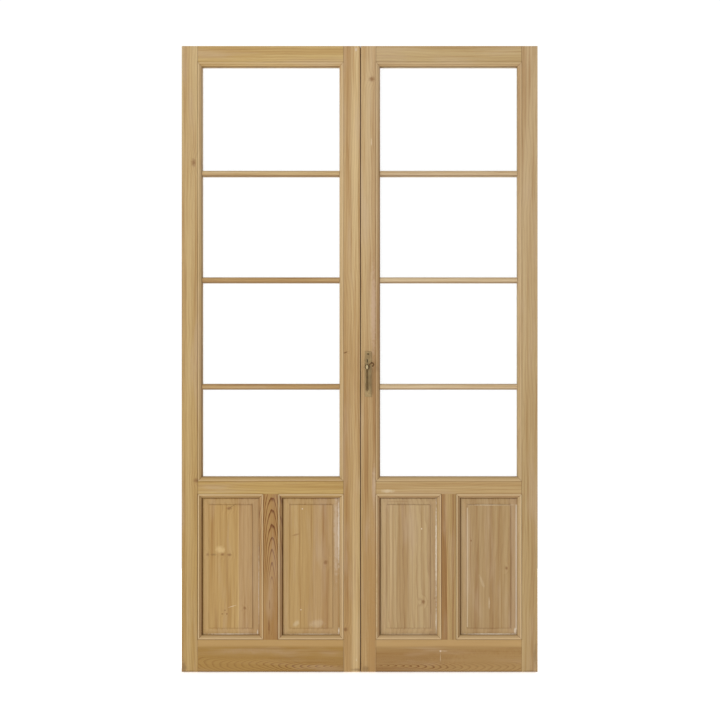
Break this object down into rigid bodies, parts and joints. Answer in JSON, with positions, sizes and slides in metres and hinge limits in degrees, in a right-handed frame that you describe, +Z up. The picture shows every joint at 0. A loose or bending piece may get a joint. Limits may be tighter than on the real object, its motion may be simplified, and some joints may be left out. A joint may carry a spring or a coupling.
{
  "type": "french doors",
  "caption": "Pair of glazed and panelled pine doors in a slim frame, with pin hinges, a brass lever and plate that work bolt rods, and flush bolts.",
  "frame": {"origin": "on the floor, in the middle of the frame's width and depth", "axes": "+X to the right and +Y away from the viewer of the lever's side, +Z up"},
  "size_m": [1.251, 0.1115, 2.204],
  "materials": {
    "pine": "stripped and waxed",
    "glass": "clear",
    "brass": "aged",
    "iron": "dark",
    "steel": "dull"
  },
  "bodies": {
    "frame": {"head": "pine", "left_hinge_frame_halves": "iron", "left_jamb": "pine", "right_hinge_frame_halves": "iron", "right_jamb": "pine", "threshold": "pine"},
    "left_leaf": {"left_bottom_flush_plate": "brass", "left_bottom_rail": "pine", "left_glazing_bar_1": "pine", "left_glazing_bar_2": "pine", "left_glazing_bar_3": "pine", "left_glazing_beads": "pine", "left_hinge_leaf_halves": "iron", "left_hinge_stile": "pine", "left_inner_panel": "pine", "left_lock_rail": "pine", "left_meeting_stile": "pine", "left_muntin": "pine", "left_outer_panel": "pine", "left_pane_1": "glass", "left_pane_2": "glass", "left_pane_3": "glass", "left_pane_4": "glass", "left_top_flush_plate": "brass", "left_top_rail": "pine"},
    "right_leaf": {"right_bottom_rail": "pine", "right_edge_strip": "brass", "right_gear_case": "steel", "right_glazing_bar_1": "pine", "right_glazing_bar_2": "pine", "right_glazing_bar_3": "pine", "right_glazing_beads": "pine", "right_hinge_leaf_halves": "iron", "right_hinge_stile": "pine", "right_inner_panel": "pine", "right_lock_plate": "brass", "right_lock_rail": "pine", "right_meeting_stile": "pine", "right_muntin": "pine", "right_outer_panel": "pine", "right_pane_1": "glass", "right_pane_2": "glass", "right_pane_3": "glass", "right_pane_4": "glass", "right_top_rail": "pine"},
    "lever": {"lever_handle": "brass", "lock_pinion": "steel"},
    "upper_rod": {"upper_bolt_rod": "steel"},
    "lower_rod": {"lower_bolt_rod": "steel"},
    "top_flush_bolt": {"left_top_flush_bolt": "steel"},
    "bottom_flush_bolt": {"left_bottom_flush_bolt": "steel"}
  },
  "joints": [
    {"name": "left_leaf_swing", "type": "hinge", "parent": "frame", "child": "left_leaf", "pos_m": [-0.62, -0.0405, 1.1], "axis": [0, 0, -1], "range_deg": [0, 110]},
    {"name": "right_leaf_swing", "type": "hinge", "parent": "frame", "child": "right_leaf", "pos_m": [0.62, -0.0405, 1.1], "axis": [0, 0, 1], "range_deg": [0, 110]},
    {"name": "lever_turn", "type": "hinge", "parent": "right_leaf", "child": "lever", "pos_m": [0.027, -0.05, 1.076], "axis": [0, -1, 0], "range_deg": [0, 90]},
    {"name": "upper_rod_slide", "type": "slide", "parent": "right_leaf", "child": "upper_rod", "axis": [0, 0, 1], "range_m": [0, 0.01414]},
    {"name": "lower_rod_slide", "type": "slide", "parent": "right_leaf", "child": "lower_rod", "axis": [0, 0, -1], "range_m": [0, 0.01414]},
    {"name": "top_flush_bolt_slide", "type": "slide", "parent": "left_leaf", "child": "top_flush_bolt", "axis": [0, 0, 1], "range_m": [0, 0.012]},
    {"name": "bottom_flush_bolt_slide", "type": "slide", "parent": "left_leaf", "child": "bottom_flush_bolt", "axis": [0, 0, -1], "range_m": [0, 0.012]}
  ],
  "couplings": [
    {"joint": "upper_rod_slide", "follows": "lever_turn", "m_per_rad": 0.009},
    {"joint": "lower_rod_slide", "follows": "lever_turn", "m_per_rad": 0.009}
  ]
}
